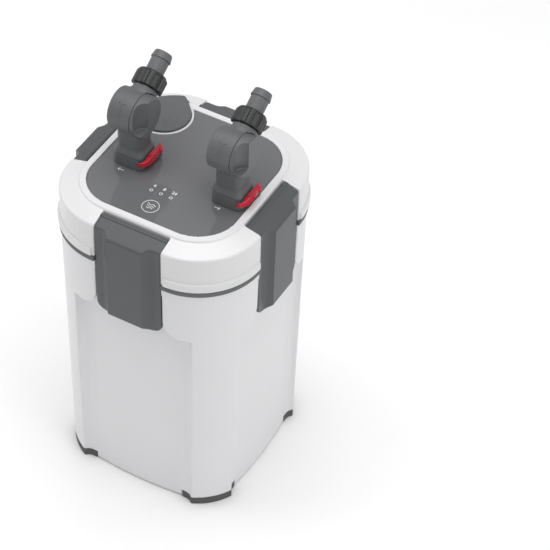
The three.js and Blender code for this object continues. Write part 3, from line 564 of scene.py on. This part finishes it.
def socket_field(x, y, z):
    flare = np.clip(z / SEAM_Z, 0, 1)
    block = both(rect(x, y, 18 - 0.6 * flare, 16 - 0.6 * flare, 7), slab(z, 0.3, SEAM_Z), 1.0)
    lug = both(rect(x - 17, y - 13.5, 4.6, 2.6, 1.2), slab(z, 3, 7.7), 0.5)
    lug = either(lug, both(from_lever_pin(x, y) - 3.2, slab(z, 3, 7.7), 0.5), 0.5)
    pin = both(from_lever_pin(x, y) - 1.3, slab(z, 5, 12.5), 0.3)
    stem = both(np.hypot(x, y) - 12, slab(z, -45.3, 2))
    piece = either(either(either(block, lug, 0.8), pin), stem)
    return less(piece, np.hypot(x, y) - 9.8, 0.6)


def body_of_valve(x, y, z):
    base = SEAM_Z + 0.3
    flare = 1 - smooth((z - base - 1.0) / 9)
    column = both(rect(x, y, 14.5 + 2.9 * flare, 13 + 2.4 * flare, 6.5), slab(z, base, DRUM_Z), 0.7)
    panel_dip = both(rect(x, z - 30, 8.5, 9, 4), -y - 12.4, 0.4)
    column = less(column, both(panel_dip, y + 12.4, 0.3), 0.4)
    radius = np.hypot(y, z - DRUM_Z)
    drum = both(both(radius - DRUM_RADIUS, -19.5 - x, 3.0), x - DRUM_END, 0.3)
    angle = np.arctan2(z - DRUM_Z, -y) * DRUM_RADIUS
    arrow = either(both(np.abs(x + 5) - 0.9, np.abs(angle - 12) - 9, 0.4),
                   both(np.abs(x + 5) + np.abs(angle - 21) * 0.7 - 4.4, 21 - angle, 0.4))
    arrow = both(arrow, np.abs(radius - DRUM_RADIUS) - 0.55, 0.3)
    drum = either(drum, arrow, 0.3)
    step, off, _ = along_neck(x, y, z)
    neck = both(off - 13.5, slab(step, 0, 27), 0.8)
    thread = both(off - 12.3 - 0.35 * np.cos(step * 2.5), slab(step, 26, 40), 0.5)
    spigot = both(np.hypot(x, y) - 9.2, slab(z, -20, base + 1), 0.9)
    groove = both(8.3 - np.hypot(x, y), np.abs(z + 4.9) - 1.1)
    piece = either(either(column, drum, 2.2), neck, 3.0)
    piece = less(piece, both(radius - DRUM_RADIUS - 0.5, DRUM_END + 0.1 - x))
    piece = either(either(piece, thread, 0.3), less(spigot, groove))
    piece = less(piece, both(radius - 13.1, slab(x, -13.4, 9)))
    piece = less(piece, both(np.hypot(x, y) - HOSE_BORE, z - DRUM_Z))
    return less(piece, both(off - HOSE_BORE, -step))


def knob_field(x, y, z):
    radius = np.hypot(y, z - DRUM_Z)
    disc = both(both(radius - DRUM_RADIUS, x - 19.5, 1.9), KNOB_START - x, 0.3)
    scoop = both(np.hypot(x - 21.5, y + 14.9) - 11.5, DRUM_Z - 11.3 - z, 1.5)
    return less(disc, scoop, 0.35)


def nut_field(x, y, z):
    step, off, lift = along_neck(x, y, z)
    angle = np.arctan2(lift, x)
    rib = smooth(0.5 + 1.7 * np.sin(9 * angle))
    shape = both(off - 15.4 - 1.6 * rib, slab(step, 27.3, 45), 1.3)
    shape = both(shape, (off - 17) * 0.78 + (step - 41.6) * 0.62, 0.6)
    shape = less(shape, both(off - 12.8, slab(step, 20, 42.6)))
    return less(shape, both(off - 10.15, slab(step, 20, 60)), 0.4)


def tail_field(x, y, z):
    step, off, _ = along_neck(x, y, z)
    flange = both(off - 12.3, slab(step, 40.3, 42.3), 0.3)
    stem = both(off - 9.75, slab(step, 40.3, 61), 0.2)
    cone = 11 - (step - 60.4) * 0.19
    barb = both((off - cone) * 0.98, slab(step, 60.2, 68.4), 0.6)
    return less(either(either(flange, stem, 0.6), barb, 0.3), off - HOSE_BORE, 0.5)


lever_outline = (
    bezier((11.5, -16.9), (24, -19.5), (24.4, 0)) + bezier((24.4, 0), (24.6, 10), (20.6, 18.5))
    + [(20.6, 18.5), (19.6, 18.5), (18.6, 12.0), (18.6, -9.5)]
    + bezier((18.6, -9.5), (18.4, -16.7), (11.5, -16.9))[1:]
)


def lever_field(x, y, z):
    plan = outline_distance(lever_outline, x, y)
    droop = 3.4 * smooth((-y - 4) / 12)
    arm = both(plan, slab(z, 8, 17), 0.7)
    arm = both(arm, z - 17 + droop, 0.7)
    boss = both(from_lever_pin(x, y) - 3.6, slab(z, 8, 13), 0.5)
    arm = either(arm, boss, 0.6)
    for k in range(3):
        rib = both(np.abs(y + 7 - 4 * k) - 0.55, x - 23.7)
        arm = less(arm, both(rib, 23.4 - x + 0.015 * (y + 3) ** 2), 0.2)
    arm = less(arm, both(from_lever_pin(x, y) - 1.6, z - 13))
    return less(arm, rect(x, y, 18.4, 16.4, 7))


def placed(field, x0):
    return lambda x, y, z: field(x - x0, y - VALVE_Y, z - PANEL_Z)


def around(node, step, margin=2.0):
    """A grid of one step around a CAD node."""
    lo, hi = corners(node)
    return tuple(ticks(a - margin, step, b + margin) for a, b in zip(lo, hi))


VALVE_PIECES = [
    ("socket", socket_field, "seat", grey, "root", "grey_plastic", 0.8),
    ("valve_body", body_of_valve, "elbow", grey, "{}_valve", "grey_plastic", 0.7),
    ("tap_knob", knob_field, "knob", grey, "{}_tap", "grey_plastic", 0.7),
    ("union_nut", nut_field, "coupling_nut", black, "{}_nut", "black_plastic", 0.6),
    ("hose_tail", tail_field, "hose_barb", grey, "{}_valve", "grey_plastic", 0.6),
    ("lock_lever", lever_field, "release_lever", red, "{}_lever", "red_plastic", 0.5),
]
for valve, x0 in valve_x.items():
    for node, field, label, material, body, slot, step in VALVE_PIECES:
        piece = surface(f"{valve}_{label}", placed(field, x0), around(f"{valve}_{node}", step))
        show(piece, material, body.format(valve), [f"{valve}_{node}"])


# ------------------------------------------------------------------ printed marks on the panel
MARK_Z = PANEL_Z * MM
MARK_HEIGHT = 0.00012


def ribbon(name, points, width, closed=False):
    """A thin printed line along points in millimetres, as a flat strip that stands just proud."""
    p = np.array(points, float) * MM
    ahead = np.roll(p, -1, 0) - p
    behind = p - np.roll(p, 1, 0)
    if not closed:
        ahead[-1], behind[0] = behind[-1], ahead[0]
    along = ahead / np.linalg.norm(ahead, axis=1)[:, None] + behind / np.linalg.norm(behind, axis=1)[:, None]
    along /= np.linalg.norm(along, axis=1)[:, None]
    across = np.stack([-along[:, 1], along[:, 0]], 1) * width * MM / 2
    n = len(p)
    rails = [np.column_stack([p + s * across, np.full(n, MARK_Z + h)])
             for s, h in ((1, 0), (-1, 0), (-1, MARK_HEIGHT), (1, MARK_HEIGHT))]
    verts = np.concatenate(rails)
    last = n if closed else n - 1
    faces = [(r * n + i, ((r + 1) % 4) * n + i, ((r + 1) % 4) * n + (i + 1) % n, r * n + (i + 1) % n)
             for r in range(4) for i in range(last)]
    if not closed:
        faces += [(0, n, 2 * n, 3 * n), (4 * n - 1, 3 * n - 1, 2 * n - 1, n - 1)]
    mesh = bpy.data.meshes.new(name)
    mesh.from_pydata(verts.tolist(), [], faces)
    mesh.validate()
    mesh.update()
    return show(add_object(name, mesh), print_white, "root")


def ring_mark(name, x, y, radius, width, steps=40):
    angles = np.linspace(0, math.tau, steps, endpoint=False)
    return ribbon(name, [(x + radius * math.cos(a), y + radius * math.sin(a)) for a in angles], width, True)


def numeral(name, text, x, y, height):
    """A numeral beside a timer light, from Blender's own built-in letter shapes."""
    curve = bpy.data.curves.new(name, "FONT")
    curve.body = text
    curve.size = height * MM * 1.38
    curve.align_x = "CENTER"
    curve.extrude = MARK_HEIGHT / 2
    curve.offset = 0.00008
    source = add_object(name + "_outline", curve)
    bpy.context.view_layer.update()
    mesh = bpy.data.meshes.new_from_object(source.evaluated_get(bpy.context.evaluated_depsgraph_get()))
    bpy.data.objects.remove(source)
    obj = add_object(name, mesh)
    obj.location = (x * MM, y * MM, MARK_Z + MARK_HEIGHT / 2)
    return show(obj, print_white, "root")


for hours, x in (("4", -13.0), ("8", -1.5), ("24", 10.0)):
    ring_mark(f"timer_light_{hours}", x, -43.9, 1.6, 0.62, 24)
    numeral(f"timer_mark_{hours}", hours, x, -38.4, 4.1)
SWITCH_X, SWITCH_Y = -1, -65
ring_mark("touch_switch_ring", SWITCH_X, SWITCH_Y, 8.9, 0.6, 56)
for row in range(3):
    half_length = 5.2 - row * 0.8
    wave = [(SWITCH_X + u, SWITCH_Y + 2.8 - 2.7 * row + 0.7 * math.sin(u * 1.05))
            for u in np.linspace(-half_length, half_length, 22)]
    ribbon(f"touch_switch_wave_{row + 1}", wave, 0.6)
for name, x, y, way in (("inlet_arrow", -56, -33.4, -1), ("outlet_arrow", 57.5, -32.5, 1)):
    ribbon(name + "_shaft", [(x - 3.4, y), (x + 3.4, y)], 0.7)
    tip = x + 3.4 * way
    ribbon(name + "_head", [(tip - 2.2 * way, y + 1.9), (tip, y), (tip - 2.2 * way, y - 1.9)], 0.7)


# ------------------------------------------------------------------ return spring of the button
def coil(name, lo, hi, turns=4, wire=0.8):
    """A helix of round wire that fills the box of the CAD spring."""
    t = np.linspace(0, 1, turns * 36 + 1)
    radial = np.stack([np.cos(t * turns * math.tau), np.sin(t * turns * math.tau), 0 * t], 1)
    upward = np.array([0, 0, 1.0])
    centre = (lo + hi) / 2 * (1, 1, 0) + radial * ((hi[0] - lo[0]) / 2 - wire)
    centre = centre + np.outer(lo[2] + wire + t * (hi[2] - lo[2] - 2 * wire), upward)
    angle = np.linspace(0, math.tau, 12, endpoint=False)[None, :, None]
    verts = centre[:, None] + wire * (np.cos(angle) * radial[:, None] + np.sin(angle) * upward)
    rings = len(t)
    faces = [(12 * i + k, 12 * (i + 1) + k, 12 * (i + 1) + (k + 1) % 12, 12 * i + (k + 1) % 12)
             for i in range(rings - 1) for k in range(12)]
    faces += [tuple(range(12)), tuple(range(12 * rings - 1, 12 * rings - 13, -1))]
    mesh = bpy.data.meshes.new(name)
    mesh.from_pydata((verts.reshape(-1, 3) * MM).tolist(), [], faces)
    mesh.polygons.foreach_set("use_smooth", np.arange(len(faces)) < len(faces) - 2)
    mesh.materials.append(steel)
    return add_object(name, mesh)


spring_lo, spring_hi = corners("priming_spring")
spring = coil("return_spring", spring_lo, spring_hi)
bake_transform(spring)
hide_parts("priming_spring")


# ------------------------------------------------------------------ CAD nodes that stay
STAYING = {
    "coarse_sponge": sponge, "ceramic_media": ceramic, "fine_filter_pad": wool,
    "media_basket_lower": basket, "media_basket_middle": basket, "media_basket_upper": basket,
    "intake_pipe": basket, "pump_cover": basket, "lid_base": dark, "cord_gland": dark,
    "control_board": board, "priming_piston": dark, "priming_cylinder": dark,
    "motor_housing": dark, "rotor_magnet": dark, "impeller": grey,
    "impeller_shaft": ceramic, "shaft_bush_upper": rubber, "shaft_bush_lower": rubber,
    "lamp_sleeve": lamp_glass, "clarifier_lamp": lamp_white,
}
for valve in valve_x:
    STAYING[f"{valve}_tap_rotor"] = dark
    STAYING[f"{valve}_spigot_seal"] = rubber
for side_name in ("front", "right", "back", "left"):
    STAYING[f"base_screw_{side_name}"] = steel
    STAYING[f"latch_pin_{side_name}"] = steel
for name, material in STAYING.items():
    paint(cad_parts[name], material)


# ------------------------------------------------------------------ floor, light and camera
def studio_floor():
    """A pale floor that runs far past the view."""
    size = 6
    mesh = bpy.data.meshes.new("studio_floor")
    corner_points = [(-size, -size, 0), (size, -size, 0), (size, size, 0), (-size, size, 0)]
    mesh.from_pydata(corner_points, [], [(0, 1, 2, 3)])
    floor = add_object("studio_floor", mesh)
    mesh.materials.append(moulded("studio_paper", (0.985, 0.985, 0.985), 0.9, 0.004))


def soft_light(name, at, aim, size, power):
    data = bpy.data.lights.new(name, "AREA")
    data.size, data.energy = size, power
    lamp = add_object(name, data)
    lamp.location = at
    lamp.rotation_euler = (Vector(aim) - Vector(at)).to_track_quat("-Z", "Y").to_euler()


studio_floor()
middle = (0, 0, 0.24)
soft_light("right", (1.9, -0.3, 1.5), middle, 1.5, 11)
soft_light("left", (-1.9, -0.5, 1.5), middle, 1.5, 11)
soft_light("top", (0.0, 0.1, 2.6), middle, 1.8, 30)

world = bpy.data.worlds.new("studio")
world.use_nodes = True
world.node_tree.nodes["Background"].inputs["Color"].default_value = (1, 1, 1, 1)
world.node_tree.nodes["Background"].inputs["Strength"].default_value = 0.52
bpy.context.scene.world = world
bpy.context.scene.view_settings.view_transform = "Standard"

AZIMUTH, ELEVATION, DISTANCE = math.radians(30.94), math.radians(44.69), 2.58595
camera_data = bpy.data.cameras.new("camera")
camera_data.lens, camera_data.sensor_width = 159.08, 36
camera_data.shift_x, camera_data.shift_y = 0.1643, 0.0015
camera = add_object("camera", camera_data)
level = math.cos(ELEVATION)
back = Vector((math.sin(AZIMUTH) * level, -math.cos(AZIMUTH) * level, math.sin(ELEVATION)))
camera.location = Vector((0, 0, 0.22985)) + back * DISTANCE
camera.rotation_euler = back.to_track_quat("Z", "Y").to_euler()
bpy.context.scene.camera = camera
